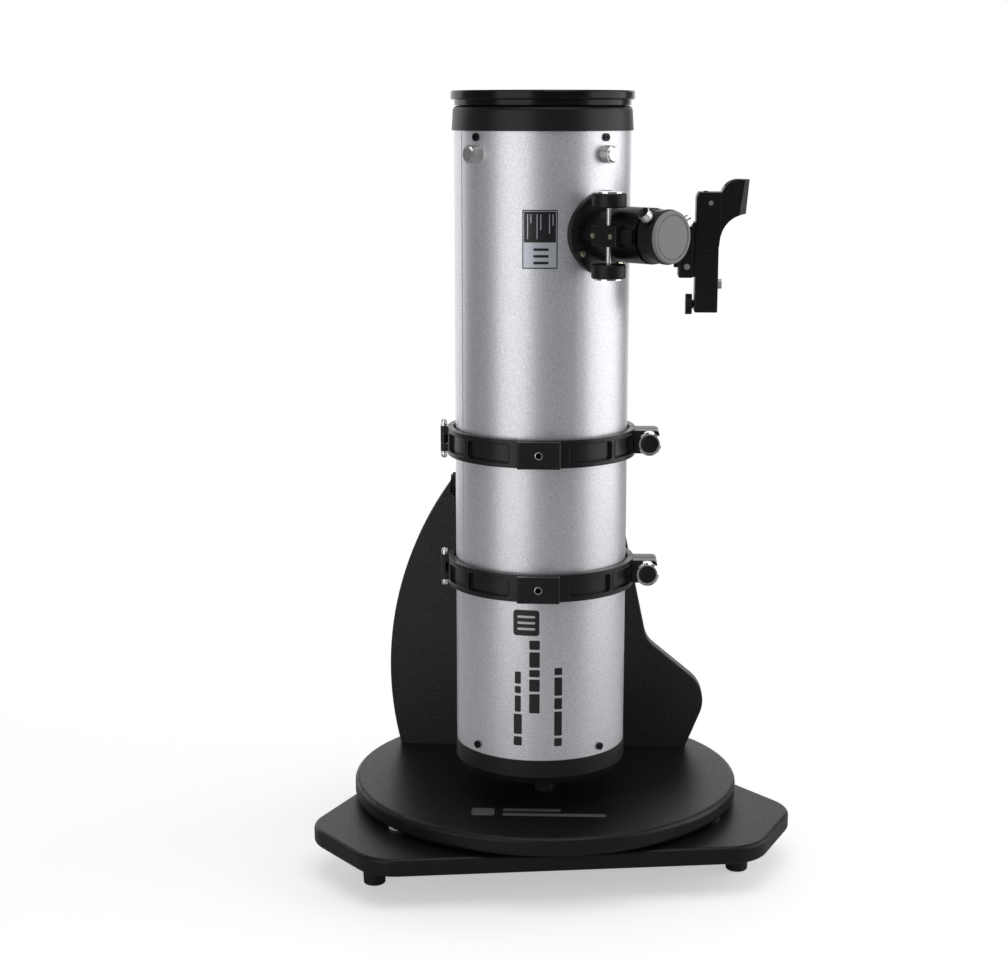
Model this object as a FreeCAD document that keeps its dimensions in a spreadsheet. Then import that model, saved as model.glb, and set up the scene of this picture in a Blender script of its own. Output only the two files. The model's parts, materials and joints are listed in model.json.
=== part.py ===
import FreeCAD, Part
import math
import os

import Sketcher

# Tabletop dobsonian telescope: a 130 mm f/5 Newtonian tube, held in two hinged clamp rings on a
# dovetail, tilting on one side arm that stands on a round turntable over a three-footed board.
# Millimetres. +Z is up, the origin is under the middle of the ground board, on the surface.

doc = FreeCAD.newDocument("dobsonian")
sheet = doc.addObject("Spreadsheet::Sheet", "dims")

DIMENSIONS = [
    # ground board, feet and turntable
    ("azimuth_x", -10.5), ("azimuth_y", -27), ("board_turn", 8.2),
    ("foot_tall", 32.5), ("foot_circle", 207), ("foot_top_radius", 12.8), ("foot_low_radius", 10.6),
    ("board_thick", 18), ("long_apothem", 175), ("short_apothem", 247), ("board_corner", 45),
    ("board_round", 4), ("table_gap", 4), ("table_radius", 194), ("table_round", 4.5),
    ("pad_circle", 177), ("pad_radius", 11), ("pad_clear", 0.2), ("azimuth_bolt_radius", 6),
    # side arm
    ("arm_front", 130), ("arm_thick", 18), ("altitude_rise", 288), ("arm_top_radius", 71),
    ("arm_reach", 162.2), ("arm_belly", 84.5), ("arm_lean", 11.9), ("arm_edge", 1.2),
    ("waist_x", 108.4), ("waist_z", 117.8), ("waist_radius", 27),
    ("heel_x", 176.1), ("heel_z", 62.2), ("heel_radius", 36), ("toe_x", 151),
    # altitude bearing, saddle and dovetail
    ("altitude_z", 233), ("altitude_bolt_radius", 5), ("hub_radius", 38), ("disc_clear", 0.2),
    ("saddle_front", 98), ("saddle_back", 125), ("saddle_half", 37), ("saddle_tall", 78),
    ("bar_tall", 214), ("bar_front", 96.5), ("bar_back", 110), ("bar_narrow", 17), ("bar_wide", 22),
    ("grip_radius", 12), ("grip_end", 94.5), ("grip_y", 105), ("grip_long", 17),
    # optical tube
    ("tube_x", -14.5), ("tube_y", -75), ("tube_base", 127.5),
    ("tube_radius", 82.5), ("tube_wall", 0.8), ("tube_long", 588.5),
    ("lip_radius", 84.7), ("lip_crown", 83.3), ("lip_round", 5), ("lip_top", 611), ("lip_bore", 77.5),
    ("cap_radius", 85.5), ("cap_neck", 82.2), ("cap_low", 616), ("cap_top", 624.5),
    ("cell_radius", 83.2), ("cell_deep", 25), ("mirror_radius", 65), ("mirror_thick", 18),
    ("knob_circle", 56), ("spider_z", 568), ("focus_z", 497.6), ("secondary_radius", 19),
    # clamp rings
    ("ring_low", 157.9), ("ring_pitch", 127), ("ring_tall", 26), ("ring_bore", 84.6), ("ring_radius", 90),
    ("boss_face", 96.5), ("boss_half", 20), ("hinge_x", 93.8), ("barrel_radius", 3.4), ("pin_radius", 1.7),
    ("lug_x", 103.3), ("lug_end", 113), ("lug_deep", 14), ("split_gap", 1), ("clamp_knob_radius", 11.2),
    # focuser, measured outward from the tube's axis
    ("flange_radius", 38.5), ("flange_rise", 4), ("housing_radius", 25), ("housing_end", 143.5),
    ("draw_radius", 20), ("draw_bore", 17.6), ("draw_seat", 5), ("pinion_out", 113.5), ("pinion_side", 26),
    ("pinion_shaft", 2.4), ("focus_knob_radius", 15.5), ("focus_knob_low", 25), ("focus_knob_high", 38.5),
    ("block_low", 97.5), ("block_long", 32), ("block_rise", 5), ("cover_thick", 2),
    ("holder_radius", 24.2), ("holder_start", 145), ("holder_end", 162.8), ("eyepiece_radius", 15.9),
    ("thumbscrew_out", 155), ("end_cap_radius", 23.2), ("end_cap_face", 167), ("end_cap_plug", 4.6),
    # finder, measured from the tube's axis
    ("finder_in", 143.6), ("finder_out", 165.2), ("finder_low", 421), ("finder_high", 532.5),
    ("finder_half", 12), ("finder_root", 166.6), ("hood_out", 192.6), ("hood_low", 492), ("hood_high", 544),
    ("scoop_x", 191.8), ("scoop_z", 487), ("scoop_radius", 25.5), ("shoulder_radius", 16),
]


class Size:
    """A length held as its value and as the spreadsheet formula that gives it."""

    def __init__(self, value, formula):
        self.value = value
        self.formula = formula

    def _join(self, other, sign, value, swap=False):
        text = other.formula if isinstance(other, Size) else repr(float(other))
        left, right = (text, self.formula) if swap else (self.formula, text)
        return Size(value, "(" + left + " " + sign + " " + right + ")")

    def __add__(self, other):
        return self._join(other, "+", self.value + float(other))

    def __radd__(self, other):
        return self._join(other, "+", float(other) + self.value, swap=True)

    def __sub__(self, other):
        return self._join(other, "-", self.value - float(other))

    def __rsub__(self, other):
        return self._join(other, "-", float(other) - self.value, swap=True)

    def __mul__(self, other):
        return self._join(other, "*", self.value * float(other))

    __rmul__ = __mul__

    def __truediv__(self, other):
        return self._join(other, "/", self.value / float(other))

    def __neg__(self):
        return self * -1

    def __float__(self):
        return float(self.value)


def fill_sheet():
    sizes = {}
    for row, (alias, value) in enumerate(DIMENSIONS, start=1):
        sheet.set("A%d" % row, alias)
        sheet.set("B%d" % row, str(value))
        sheet.setAlias("B%d" % row, alias)
        sizes[alias] = Size(value, "dims." + alias)
    doc.recompute()
    return sizes


D = fill_sheet()
V = FreeCAD.Vector
X = V(1, 0, 0)
Y = V(0, 1, 0)
Z = V(0, 0, 1)
ORIGIN = V(0, 0, 0)
CLEAR = 0.3          # gap between faces of different moving bodies
RUNNING = 0.06       # radial clearance of a shaft in its bore
nodes = []


def frame(x, y, z, rotation=None):
    return FreeCAD.Placement(V(float(x), float(y), float(z)), rotation or FreeCAD.Rotation())


def turned(angle, axis=Z):
    return FreeCAD.Rotation(axis, angle)


def along(direction):
    return FreeCAD.Rotation(Z, direction)


GROUND = frame(D["azimuth_x"], D["azimuth_y"], 0, turned(D["board_turn"].value))
TABLE = frame(D["azimuth_x"], D["azimuth_y"], 0)
ARM = frame(D["tube_x"], D["tube_y"] + D["arm_front"], D["tube_base"] - 55)
TUBE = frame(D["tube_x"], D["tube_y"], D["tube_base"])
FOCUS_TURN = FreeCAD.Rotation(V(1, 1, 0), V(0, 0, 1), V(1, -1, 0), "XYZ")
FOCUSER = frame(D["tube_x"], D["tube_y"], D["tube_base"] + D["focus_z"], FOCUS_TURN)
BOARD_LOW = D["foot_tall"]
BOARD_TOP = D["foot_tall"] + D["board_thick"]
TABLE_LOW = BOARD_TOP + D["table_gap"]
TABLE_TOP = TABLE_LOW + D["board_thick"]


# ---------------------------------------------------------------- drawing helpers

def node(piece, label, place):
    piece.Label = label
    piece.Placement = place
    nodes.append(piece)
    return piece


def bind(piece, **sizes):
    for name, size in sizes.items():
        if isinstance(size, Size):
            piece.setExpression(name, size.formula)
        setattr(piece, name, float(size))
    return piece


def cylinder(radius, tall, at=(0, 0, 0), axis=Z, angle=360, spin=0):
    piece = doc.addObject("Part::Cylinder", "rod")
    bind(piece, Radius=radius, Height=tall, Angle=angle)
    rotation = along(axis) * turned(spin)
    piece.Placement = frame(*at, rotation)
    return piece


def cone(low_radius, high_radius, tall, at=(0, 0, 0), axis=Z):
    piece = doc.addObject("Part::Cone", "taper")
    bind(piece, Radius1=low_radius, Radius2=high_radius, Height=tall)
    piece.Placement = frame(*at, along(axis))
    return piece


def box(long, wide, tall, at=(0, 0, 0), rotation=None):
    """A box whose middle in X and Y and whose bottom in Z lie at the given place."""
    piece = doc.addObject("Part::Box", "block")
    bind(piece, Length=long, Width=wide, Height=tall)
    turn = rotation or FreeCAD.Rotation()
    middle = V(float(long) / 2, float(wide) / 2, 0)
    piece.Placement = FreeCAD.Placement(V(*[float(v) for v in at]) - turn.multVec(middle), turn)
    return piece


def torus(radius, thick_radius, at=(0, 0, 0), axis=Z):
    piece = doc.addObject("Part::Torus", "bead")
    bind(piece, Radius1=radius, Radius2=thick_radius)
    piece.Placement = frame(*at, along(axis))
    return piece


def fuse(*pieces):
    joined = doc.addObject("Part::MultiFuse", "joined")
    joined.Shapes = list(pieces)
    return joined


def cut(base, *tools):
    opened = doc.addObject("Part::Cut", "opened")
    opened.Base = base
    opened.Tool = tools[0] if len(tools) == 1 else fuse(*tools)
    return opened


def common(first, second):
    kept = doc.addObject("Part::MultiCommon", "kept")
    kept.Shapes = [first, second]
    return kept


def group(pieces):
    """Separate solids that share one node."""
    together = doc.addObject("Part::Compound", "group")
    together.Links = list(pieces)
    return together


def pipe(outer, inner, tall, at=(0, 0, 0), axis=Z):
    step = axis * -1.0
    below = tuple(V(*[float(v) for v in at]) + step)
    return cut(cylinder(outer, tall, at, axis), cylinder(inner, tall + 2, below, axis))


def sector(inner, outer, low, tall, start, sweep):
    """Part of a ring about Z between two angles from +X."""
    full = cylinder(outer, tall, (0, 0, low), Z, sweep, start)
    bore = cylinder(inner, tall + 2, (0, 0, float(low) - 1))
    return cut(full, bore)


def softened(base, radius, wanted):
    """Rounds the edges of a finished shape that the test picks."""
    doc.recompute()
    picked = [i + 1 for i, edge in enumerate(base.Shape.Edges) if wanted(edge)]
    rounded = doc.addObject("Part::Fillet", "softened")
    rounded.Base = base
    rounded.Edges = [(number, float(radius), float(radius)) for number in picked]
    return rounded


def is_circle(edge, radius=None, height=None):
    if edge.Length < 0.01 or not isinstance(edge.Curve, Part.Circle):
        return False
    curve = edge.Curve
    fits = radius is None or abs(curve.Radius - float(radius)) < 0.01
    return fits and (height is None or abs(curve.Center.z - float(height)) < 0.01)


def origin_plane(body, role):
    return next(item for item in body.Origin.OriginFeatures if item.Role == role)


def outline(body, role, corners):
    """A closed sketch whose corners stand at bound distances from the origin."""
    sketch = body.newObject("Sketcher::SketchObject", body.Name + "Outline")
    sketch.AttachmentSupport = [(origin_plane(body, role), "")]
    sketch.MapMode = "FlatFace"
    points = [V(float(x), float(y), 0) for x, y in corners]
    count = len(points)
    for index in range(count):
        sketch.addGeometry(Part.LineSegment(points[index], points[(index + 1) % count]), False)
    for index in range(count):
        sketch.addConstraint(Sketcher.Constraint("Coincident", index, 2, (index + 1) % count, 1))
    for index, corner in enumerate(corners):
        for kind, axis_line, size in (("DistanceX", -2, corner[0]), ("DistanceY", -1, corner[1])):
            if float(size) == 0:
                sketch.addConstraint(Sketcher.Constraint("PointOnObject", index, 1, axis_line))
                continue
            number = sketch.addConstraint(Sketcher.Constraint(kind, -1, 1, index, 1, float(size)))
            if isinstance(size, Size):
                sketch.setExpression("Constraints[%d]" % number, size.formula)
    return sketch


def lathe(corners):
    """A body turned about Z from (radius, height) corners."""
    body = doc.addObject("PartDesign::Body", "turning")
    sketch = outline(body, "XZ_Plane", corners)
    feature = body.newObject("PartDesign::Revolution", body.Name + "Turn")
    feature.Profile = sketch
    feature.ReferenceAxis = (sketch, ["V_Axis"])
    feature.Angle = 360
    body.Tip = feature
    doc.recompute()
    return body


def slab(corners, thick, role="XY_Plane", middle=False):
    """A body padded from a straight-sided outline."""
    body = doc.addObject("PartDesign::Body", "plate")
    sketch = outline(body, role, corners)
    feature = body.newObject("PartDesign::Pad", body.Name + "Pad")
    feature.Profile = sketch
    feature.Length = float(thick)
    if isinstance(thick, Size):
        feature.setExpression("Length", thick.formula)
    feature.Midplane = middle
    body.Tip = feature
    doc.recompute()
    return body


def rounded_body(body, radius, wanted):
    """Adds a PartDesign fillet on the body's edges that the test picks."""
    doc.recompute()
    base = body.Tip
    names = ["Edge%d" % (i + 1) for i, edge in enumerate(base.Shape.Edges) if wanted(edge)]
    feature = body.newObject("PartDesign::Fillet", body.Name + "Round")
    feature.Base = (base, names)
    feature.Radius = float(radius)
    if isinstance(radius, Size):
        feature.setExpression("Radius", radius.formula)
    body.Tip = feature
    doc.recompute()
    return body


def ring_of(count, radius, start=0.0):
    """Points evenly round a circle, as (angle, x, y)."""
    points = []
    for index in range(count):
        angle = start + 360.0 * index / count
        turn = math.radians(angle)
        points.append((angle, float(radius) * math.cos(turn), float(radius) * math.sin(turn)))
    return points


def radial(angle):
    turn = math.radians(angle)
    return V(math.cos(turn), math.sin(turn), 0)


def pan_screw(at, direction, head=3.2, head_tall=2.2, shank=1.6, reach=8):
    """A pan-head screw: the seat of its head at a place, the head standing out along a direction."""
    seat = V(*[float(v) for v in at])
    head_piece = cylinder(head, head_tall, tuple(seat), direction)
    shank_piece = cylinder(shank, reach, tuple(seat - direction * reach), direction)
    slot_place = FreeCAD.Placement(seat + direction * (head_tall - 1.0), along(direction))
    slots = []
    for long, wide in ((head * 1.1, 0.7), (0.7, head * 1.1)):
        slot = box(long, wide, 2)
        slot.Placement = slot_place * slot.Placement
        slots.append(slot)
    return cut(fuse(head_piece, shank_piece), *slots)


def ridged_knob(radius, tall, ridges, ridge_radius, at=(0, 0, 0), axis=Z):
    """A round grip with shallow flutes cut round it."""
    grip = cylinder(radius, tall, at, axis)
    place = frame(*at, along(axis))
    flutes = []
    for angle, x, y in ring_of(ridges, float(radius) + ridge_radius * 0.45):
        flute = cylinder(ridge_radius, tall + 2, (0, 0, -1))
        flute.Placement = place * frame(x, y, -1)
        flutes.append(flute)
    return cut(grip, *flutes)


def smooth_knob(radius, tall, edge):
    """A plain round grip with both its rims bevelled."""
    return lathe([(0, 0), (radius - edge, 0), (radius, edge), (radius, tall - edge), (radius - edge, tall),
                  (0, tall)])


# ---------------------------------------------------------------- base

def make_ground_board():
    half = (2 * D["long_apothem"] - D["short_apothem"]) * math.tan(math.radians(30))
    corners = []
    for side in range(3):
        cosine = math.cos(math.radians(120 * side))
        sine = math.sin(math.radians(120 * side))
        for sign in (1, -1):
            across = half * sign
            corners.append((across * cosine - D["short_apothem"] * sine,
                            across * sine + D["short_apothem"] * cosine))
    body = slab(corners, D["board_thick"])
    rounded_body(body, D["board_corner"], lambda edge: abs(edge.tangentAt(edge.FirstParameter).z) > 0.9)
    rounded_body(body, D["board_round"], lambda edge: abs(edge.tangentAt(edge.FirstParameter).z) < 0.1)
    tools = [cylinder(D["azimuth_bolt_radius"], 60, (0, 0, -10)), cylinder(14, 9.4, (0, 0, -1))]
    node(cut(body, *tools), "ground_board", GROUND * frame(0, 0, BOARD_LOW))


def make_feet():
    foot_tall = D["foot_tall"]
    low = D["foot_low_radius"]
    high = D["foot_top_radius"]
    feet = []
    for angle, x, y in ring_of(3, D["foot_circle"], 90):
        foot = lathe([(0, 0), (low - 1, 0), (low, 1), (low + 0.6, 12), (high, 16), (high, foot_tall - 1),
                      (high - 1, foot_tall), (0, foot_tall)])
        foot.Placement = frame(x, y, 0)
        feet.append(foot)
    node(group(feet), "feet", GROUND)


def make_slide_pads():
    tall = D["table_gap"] - D["pad_clear"]
    pads = []
    for angle, x, y in ring_of(3, D["pad_circle"], 90):
        pad = cylinder(D["pad_radius"], tall, (x, y, 0))
        pads.append(softened(pad, 0.6, lambda edge: is_circle(edge, height=tall)))
    node(group(pads), "slide_pads", GROUND * frame(0, 0, BOARD_TOP))


def make_azimuth_pivot():
    shaft = D["azimuth_bolt_radius"]
    head = slab([(x, y) for angle, x, y in ring_of(6, 10.5)], 6.4)
    stem = cylinder(shaft, TABLE_TOP - BOARD_LOW - 8.4 + 5.4, (0, 0, 6.4))
    bolt = fuse(head, stem)
    node(bolt, "azimuth_bolt", GROUND * frame(0, 0, BOARD_LOW + 2))
    flanged = lathe([(shaft, 0), (14, 0), (14, 1.6), (9.4, 1.8), (9.4, 4.4), (8, 6), (shaft, 6)])
    node(flanged, "azimuth_nut", GROUND * frame(0, 0, TABLE_TOP + D["pad_clear"]))


def make_turntable():
    bore = D["azimuth_bolt_radius"] + RUNNING
    radius = D["table_radius"]
    body = lathe([(bore, 0), (radius, 0), (radius, D["board_thick"]), (bore, D["board_thick"])])
    rounded_body(body, D["table_round"], lambda edge: is_circle(edge, radius))
    holes = []
    for x in arm_screw_places():
        shift_x = D["tube_x"].value - D["azimuth_x"].value + x
        shift_y = arm_middle_y() - D["azimuth_y"].value
        holes.append(cylinder(2.5, 30, (shift_x, shift_y, -1)))
        holes.append(cylinder(5.6, 4.6, (shift_x, shift_y, -1)))
    node(cut(body, *holes), "turntable_board", TABLE * frame(0, 0, TABLE_LOW))


def arm_middle_y():
    return (D["tube_y"] + D["arm_front"] + D["arm_thick"] / 2).value


def arm_screw_places():
    return (-110.0, 0.0, 110.0)


def make_arm_screws():
    screws = []
    for x in arm_screw_places():
        seat = (D["tube_x"].value + x, arm_middle_y(), TABLE_LOW.value + 3.6)
        screws.append(pan_screw(seat, V(0, 0, -1), 5, 3, 2.5, 50))
    node(group(screws), "arm_screws", frame(0, 0, 0))


def arm_profile():
    """The arm's outline in its own X and Z: one long back curve, a round top over the altitude
    axis, a straight lean, a waist and a round heel."""
    top_radius = D["arm_top_radius"].value
    rise = D["altitude_rise"].value
    belly = D["arm_belly"].value
    reach = D["arm_reach"].value
    lift = rise - belly
    back_radius = (reach ** 2 + lift ** 2 - top_radius ** 2) / (2 * (reach - top_radius))
    back_x = back_radius - reach
    lean = math.radians(D["arm_lean"].value)
    start = V(back_x - math.sqrt(back_radius ** 2 - belly ** 2), 0, 0)
    belly_point = V(-reach, 0, belly)
    toward_top = V(-back_x, 0, lift).normalize()
    meet = V(back_x, 0, belly) + toward_top * back_radius
    crown = V(0, 0, rise + top_radius)
    lean_start = V(math.cos(lean), 0, math.sin(lean)) * top_radius + V(0, 0, rise)
    waist = V(D["waist_x"].value, 0, D["waist_z"].value)
    heel = V(D["heel_x"].value, 0, D["heel_z"].value)
    toe = V(D["toe_x"].value, 0, 0)
    edges = [Part.Arc(start, belly_point, meet).toShape(), Part.Arc(meet, crown, lean_start).toShape()]
    here = lean_start
    for corner, ahead, radius in ((waist, heel, D["waist_radius"]), (heel, toe, D["heel_radius"])):
        before = (here - corner).normalize()
        after = (ahead - corner).normalize()
        half = before.getAngle(after) / 2
        reach_back = radius.value / math.tan(half)
        first = corner + before * reach_back
        last = corner + after * reach_back
        bisector = (before + after).normalize()
        nearest = corner + bisector * (radius.value / math.sin(half) - radius.value)
        edges.append(Part.LineSegment(here, first).toShape())
        edges.append(Part.Arc(first, nearest, last).toShape())
        here = last
    edges.append(Part.LineSegment(here, toe).toShape())
    edges.append(Part.LineSegment(toe, start).toShape())
    return Part.Wire(edges)


def make_side_arm():
    thick = D["arm_thick"].value
    plate = Part.Face(arm_profile()).extrude(V(0, thick, 0))
    rims = [edge for edge in plate.Edges
            if abs(edge.BoundBox.YLength) < 0.01 and edge.BoundBox.ZMax > 1]
    plate = plate.makeFillet(D["arm_edge"].value, rims)
    bolt_hole = Part.makeCylinder(D["altitude_bolt_radius"].value, thick + 2,
                                  V(0, -1, D["altitude_rise"].value), Y)
    plate = plate.cut(bolt_hole)
    for x in arm_screw_places():
        plate = plate.cut(Part.makeCylinder(2.5, 38, V(x, thick / 2, -1), Z))
    piece = doc.addObject("Part::Feature", "arm_plate")
    piece.Shape = plate
    node(piece, "side_arm", ARM)


# ---------------------------------------------------------------- altitude bearing and saddle

def altitude_place(forward):
    """A frame on the altitude axis whose Z points back (+Y), at a distance behind the tube's axis."""
    back = D["tube_y"] + forward
    return frame(D["tube_x"], back, D["tube_base"] + D["altitude_z"], along(Y))


def make_altitude_bearing():
    bolt = D["altitude_bolt_radius"]
    disc_thick = D["arm_front"] - D["saddle_back"] - D["disc_clear"]
    disc = pipe(D["hub_radius"] + 4, bolt, disc_thick)
    node(disc, "friction_disc", altitude_place(D["arm_front"] - disc_thick))
    head_seat = D["saddle_back"] - 11.5
    tail = D["arm_front"] + D["arm_thick"] + 20 - head_seat
    head = cylinder(8.5, 5)
    stem = cylinder(bolt, tail)
    socket = slab([(x, y) for angle, x, y in ring_of(6, 3.4)], 3)
    node(cut(fuse(head, stem), socket), "altitude_bolt", altitude_place(head_seat))


def make_tension_knob():
    back = D["arm_front"] + D["arm_thick"]
    grip = ridged_knob(24, 16, 9, 6, (0, 0, 5))
    collar = cylinder(14, 6)
    bore = cylinder(D["altitude_bolt_radius"] + RUNNING, 21.2, (0, 0, -1))
    node(cut(fuse(grip, collar), bore), "tension_knob", altitude_place(back + D["disc_clear"]))


def make_saddle():
    front = D["saddle_front"]
    back = D["saddle_back"]
    half = D["saddle_half"]
    floor = D["bar_back"] + 0.4
    narrow = D["bar_narrow"] + 0.4
    wide = D["bar_wide"] + 0.4
    mouth = wide - (wide - narrow) * ((floor - front).value / (D["bar_back"] - D["bar_front"]).value)
    profile = [(-half, front + 3), (-half + 3, front), (-mouth, front), (-wide, floor), (wide, floor),
               (mouth, front), (half - 3, front), (half, front + 3), (half, back - 5), (-half, back - 5)]
    body = slab(profile, D["saddle_tall"])
    rise = D["altitude_z"] - D["saddle_tall"] / 2
    place = TUBE * frame(0, 0, rise)
    middle = D["saddle_tall"] / 2
    hub = cylinder(D["hub_radius"], 6, (0, back - 6, middle), Y)
    hole = cylinder(D["altitude_bolt_radius"] + RUNNING, 40, (0, front - 5, middle), Y)
    seat = cylinder(9.2, 30, (0, back.value - 6.3 - 30, middle), Y)
    screw_hole = cylinder(4 + RUNNING, 40, (-60, D["grip_y"], middle), X)
    node(cut(fuse(body, hub), hole, seat, screw_hole), "saddle", place)


def make_saddle_knob():
    """The screw that grips the dovetail, with its fluted grip on the -X side."""
    grip = ridged_knob(D["grip_radius"], D["grip_long"], 14, 1.6)
    rim = cone(D["grip_radius"] - 1.6, D["grip_radius"] - 3, 1.5, (0, 0, -1.5))
    collar = cylinder(8, 5, (0, 0, D["grip_long"]))
    tip = D["grip_end"] - D["bar_wide"] - 2.4
    screw = cylinder(4, tip, (0, 0, 0))
    place = TUBE * frame(-D["grip_end"] + 1.5, D["grip_y"], D["altitude_z"], along(X))
    node(fuse(grip, rim, collar, screw), "saddle_knob", place)


def make_dovetail():
    narrow = D["bar_narrow"]
    wide = D["bar_wide"]
    front = D["bar_front"]
    back = D["bar_back"]
    bar = slab([(-narrow, front), (narrow, front), (wide, back), (-wide, back)], D["bar_tall"])
    middle = D["ring_low"] + D["ring_tall"] / 2 + D["ring_pitch"] / 2
    low = middle - D["bar_tall"] / 2
    screws = []
    holes = []
    for ring in range(2):
        level = D["ring_low"] + D["ring_tall"] / 2 + ring * D["ring_pitch"]
        for side in (-8, 8):
            holes.append(cylinder(3, 20, (side, front - 1, level - low), Y))
            holes.append(cylinder(5, 10, (side, back - 3.4, level - low), Y))
            head = cylinder(5, 3.2, (side, back - 3.4, level), Y)
            shank = cylinder(3, 16, (side, back - 19.4, level), Y)
            screws.append(fuse(head, shank))
    node(cut(bar, *holes), "dovetail_bar", TUBE * frame(0, 0, low))
    node(group(screws), "dovetail_screws", TUBE)


# ---------------------------------------------------------------- clamp rings

POCKET_DEEP = 3.0
POCKET_TALL = 18.0
FRONT_POCKETS = ((18, 30.5), (51, 24))       # degrees from the boss: where each starts, and its sweep
REAR_POCKETS = ((22, 38),)


def is_radial_line(edge):
    return isinstance(edge.Curve, Part.Line) and abs(edge.tangentAt(edge.FirstParameter).z) < 0.1


def ring_pockets(facing, level):
    """Shallow rounded recesses in the outside of a half ring, each side of its boss."""
    floor = D["ring_radius"] - POCKET_DEEP
    low = level.value + (D["ring_tall"].value - POCKET_TALL) / 2
    spans = FRONT_POCKETS if facing < 0 else REAR_POCKETS
    tools = []
    for offset, sweep in spans:
        for side in (-1, 1):
            begin = facing * 90 + offset if side > 0 else facing * 90 - offset - sweep
            pocket = sector(floor, D["ring_radius"] + 4, low, POCKET_TALL, begin, sweep)
            tools.append(softened(pocket, 3, is_radial_line))
    return tools


def half_ring(level, facing):
    """Half a clamp ring in the tube's frame: facing -1 is the front, opening half, +1 the rear one."""
    tall = D["ring_tall"]
    edge_angle = math.degrees(math.asin(D["split_gap"].value / D["ring_bore"].value))
    start = edge_angle if facing > 0 else 180 + edge_angle
    band = sector(D["ring_bore"], D["ring_radius"], level, tall, start, 180 - 2 * edge_angle)
    boss_mid = facing * (D["boss_face"] - 5)
    boss = box(2 * D["boss_half"], 10, tall - 1, (0, boss_mid, level + 0.5))
    boss = softened(boss, 1.6, lambda edge: edge.Length < 39 and abs(edge.tangentAt(0).z) > 0.9
                    and edge.CenterOfMass.y * facing > (D["boss_face"].value - 1))
    lug_mid = facing * (D["split_gap"] + D["lug_deep"] / 2)
    lug_long = D["lug_end"] - D["ring_bore"] - 1
    lug = box(lug_long, D["lug_deep"], tall - 4, (D["lug_end"] - lug_long / 2, lug_mid, level + 2))
    lug = softened(lug, 4, lambda edge: edge.CenterOfMass.x > (D["lug_end"].value - 0.5)
                   and abs(edge.tangentAt(0).y) > 0.9)
    pieces = [band, boss, lug]
    tools = []
    knuckles = ((8.5, 8.6),) if facing > 0 else ((0.6, 7.4), (17.6, 7.4))
    for rise, long in knuckles:
        pieces.append(cylinder(D["barrel_radius"], long, (-D["hinge_x"], 0, level + rise)))
        web_long = D["hinge_x"] - D["ring_bore"] - 1
        web = box(web_long, 3.2, long, (-D["hinge_x"] + web_long / 2, facing * 1.8, level + rise))
        pieces.append(web)
    other = ((0.2, 8.3), (17.1, 8.7)) if facing > 0 else ((8.0, 9.6),)
    for rise, long in other:
        tools.append(cylinder(D["barrel_radius"] + 0.5, long, (-D["hinge_x"], 0, level + rise)))
    pin_gap = RUNNING if facing < 0 else 0
    tools.append(cylinder(D["pin_radius"] + pin_gap, tall + 4, (-D["hinge_x"], 0, level - 2)))
    bolt_gap = RUNNING if facing < 0 else 0.9
    tools.append(cylinder(3 + bolt_gap, D["lug_deep"] + 2, (D["lug_x"], lug_mid - D["lug_deep"] / 2 - 1,
                                                           level + tall / 2), Y))
    if facing < 0:
        tools.append(cylinder(2.6, 12, (0, -D["boss_face"] - 1, level + tall / 2), Y))
        tools.append(cone(4.3, 2.6, 1.4, (0, -D["boss_face"], level + tall / 2), Y))
    else:
        for side in (-8, 8):
            tools.append(cylinder(3, 14, (side, D["boss_face"] - 13, level + tall / 2), Y))
    tools.extend(ring_pockets(facing, level))
    bore = cylinder(D["ring_bore"], tall + 4, (0, 0, level - 2))
    return cut(fuse(*pieces), bore, *tools)


def make_clamp_rings():
    felts = []
    pins = []
    for ring, word in enumerate(("lower", "upper")):
        level = D["ring_low"] + ring * D["ring_pitch"]
        node(half_ring(level, 1), word + "_ring_rear", TUBE)
        node(half_ring(level, -1), word + "_ring_front", TUBE)
        felts.append(sector(D["tube_radius"], D["ring_bore"], level + 1, 24, 4, 172))
        node(sector(D["tube_radius"] + 0.35, D["ring_bore"], level + 1, 24, 184, 172),
             word + "_felt_front", TUBE)
        pin = cylinder(D["pin_radius"], D["ring_tall"] + 1, (-D["hinge_x"], 0, level - 0.5))
        caps = [cylinder(D["barrel_radius"], 1.6, (-D["hinge_x"], 0, level + rise)) for rise in (-1.6, 26)]
        pins.append(fuse(pin, *caps))
        make_clamp_knob(word, level + D["ring_tall"] / 2)
    node(group(felts), "rear_felts", TUBE)
    node(group(pins), "hinge_pins", TUBE)


def make_clamp_knob(word, level):
    """A chrome knob on a screw that runs through both lugs, its axis along Y."""
    front = D["split_gap"] + D["lug_deep"]
    radius = D["clamp_knob_radius"]
    grip = lathe([(0, 0), (radius - 1.2, 0), (radius, 1.2), (radius, 10.6), (radius - 1.2, 11.8), (5.4, 11.8),
                  (5.4, 12.2), (0, 12.2)])
    face = cylinder(radius - 2.6, 1, (0, 0, -0.01))
    grip = cut(grip, face)
    screw = cylinder(3, front + 11, (0, 0, 12.2))
    place = TUBE * frame(D["lug_x"], -front - 12.4, level, along(Y))
    node(fuse(grip, screw), word + "_clamp_knob", place)


# ---------------------------------------------------------------- optical tube

CORNER_ANGLES = (45, 135, 225, 315)
TUBE_SCREW_LEVELS = (8, 583)


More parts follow.
